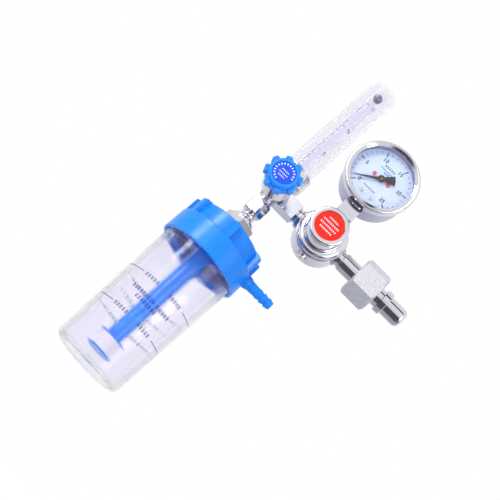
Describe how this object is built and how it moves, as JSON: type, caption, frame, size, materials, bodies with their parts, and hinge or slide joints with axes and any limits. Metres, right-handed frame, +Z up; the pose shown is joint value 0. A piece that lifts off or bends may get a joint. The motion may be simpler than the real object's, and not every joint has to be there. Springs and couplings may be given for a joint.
{
  "type": "oxygen flowmeter regulator",
  "caption": "Oxygen cylinder regulator with a pressure gauge, a clear flow tube with a control knob, and a screw-on humidifier bottle with a hose barb.",
  "frame": {"origin": "on the inlet nipple's axis, at the front face of its sealing shoulder", "axes": "+X out of the inlet nipple towards the cylinder, +Z up the flow tube, -Y towards the reader of the dial, the label and the knob"},
  "size_m": [0.1737, 0.0762, 0.3248],
  "materials": {
    "chrome": "polished",
    "satin_steel": "satin",
    "brass": "machined",
    "steel": "satin",
    "black_rubber": "matte",
    "red_plastic": "gloss",
    "blue_plastic": "gloss",
    "deep_blue": "gloss",
    "clear_plastic": "gloss, clear",
    "white_plastic": "matte",
    "dial_white": "matte print",
    "black_paint": "satin"
  },
  "bodies": {
    "regulator": {"inlet_nipple": "chrome", "inlet_filter": "brass", "regulator_body": "chrome", "regulator_bonnet": "chrome", "label_disc": "red_plastic", "adjusting_screw": "steel", "spring_button": "brass", "main_spring": "steel", "diaphragm": "black_rubber", "seat_nozzle": "brass", "poppet_spring": "steel", "relief_valve": "chrome", "outlet_coupling": "chrome", "gauge_stem": "chrome", "gauge_case": "satin_steel", "gauge_bezel": "chrome", "gauge_lens": "clear_plastic", "gauge_dial": "dial_white", "dial_screws": "red_plastic", "movement_frame": "brass", "bourdon_tube": "brass", "valve_body": "chrome", "packing_bonnet": "chrome", "packing_ring": "white_plastic", "meter_socket": "chrome", "outer_tube": "clear_plastic", "outer_tube_seal": "black_rubber", "metering_tube": "clear_plastic", "float_seat": "white_plastic", "union_nut": "chrome", "union_seal": "black_rubber", "humidifier_hub": "chrome", "cap_nut": "satin_steel", "hub_seal": "white_plastic", "bottle_cap": "blue_plastic", "dip_tube": "blue_plastic", "diffuser_cage": "blue_plastic", "diffuser_stone": "white_plastic"},
    "slip_washer": {"slip_washer": "brass"},
    "inlet_nut": {"inlet_nut": "satin_steel"},
    "valve_train": {"poppet": "steel", "diaphragm_plate": "brass"},
    "spindle": {"flow_spindle": "brass"},
    "knob": {"flow_knob": "blue_plastic", "knob_disc": "deep_blue", "knob_screw": "steel"},
    "pointer": {"gauge_pointer": "black_paint", "pinion_arbor": "brass"},
    "sector": {"sector_gear": "brass"},
    "float": {"float_ball": "steel"},
    "gasket": {"cap_gasket": "white_plastic"},
    "bottle": {"bottle": "clear_plastic"}
  },
  "joints": [
    {"name": "nut_slide", "type": "slide", "parent": "regulator", "child": "slip_washer", "axis": [1, 0, 0], "range_m": [-0.014, 0.0198]},
    {"name": "nut_turn", "type": "hinge", "parent": "slip_washer", "child": "inlet_nut", "pos_m": [-0.0215, 0, 0], "axis": [1, 0, 0], "continuous": true},
    {"name": "valve_lift", "type": "slide", "parent": "regulator", "child": "valve_train", "axis": [0, 1, 0], "range_m": [0, 0.0006], "stiffness_N_per_m": 400, "springref_m": -0.0005},
    {"name": "spindle_rise", "type": "slide", "parent": "regulator", "child": "spindle", "axis": [0, -1, 0], "range_m": [0, 0.0025]},
    {"name": "knob_turn", "type": "hinge", "parent": "spindle", "child": "knob", "pos_m": [-0.121, -0.033, 0], "axis": [0, -1, 0], "range_deg": [0, 900]},
    {"name": "pointer_turn", "type": "hinge", "parent": "regulator", "child": "pointer", "pos_m": [-0.071, -0.0104, 0.0686], "axis": [0, 1, 0], "range_deg": [0, 262], "stiffness_Nm_per_rad": 0.0001, "springref_deg": -28.65},
    {"name": "sector_swing", "type": "hinge", "parent": "regulator", "child": "sector", "pos_m": [-0.071, -0.004, 0.05509], "axis": [0, 1, 0], "range_deg": [-29.12, 0]},
    {"name": "float_rise", "type": "slide", "parent": "regulator", "child": "float", "axis": [0, 0, -1], "range_m": [0, 0.1028]},
    {"name": "bottle_drop", "type": "slide", "parent": "regulator", "child": "gasket", "axis": [0, 0, -1], "range_m": [0, 0.009]},
    {"name": "bottle_turn", "type": "hinge", "parent": "gasket", "child": "bottle", "pos_m": [-0.121, 0, -0.13], "axis": [0, 0, -1], "range_deg": [0, 1080]}
  ],
  "couplings": [
    {"joint": "spindle_rise", "follows": "knob_turn", "m_per_rad": 0.00015915},
    {"joint": "sector_swing", "follows": "pointer_turn", "ratio": -0.11111},
    {"joint": "bottle_drop", "follows": "bottle_turn", "m_per_rad": 0.00047746}
  ]
}
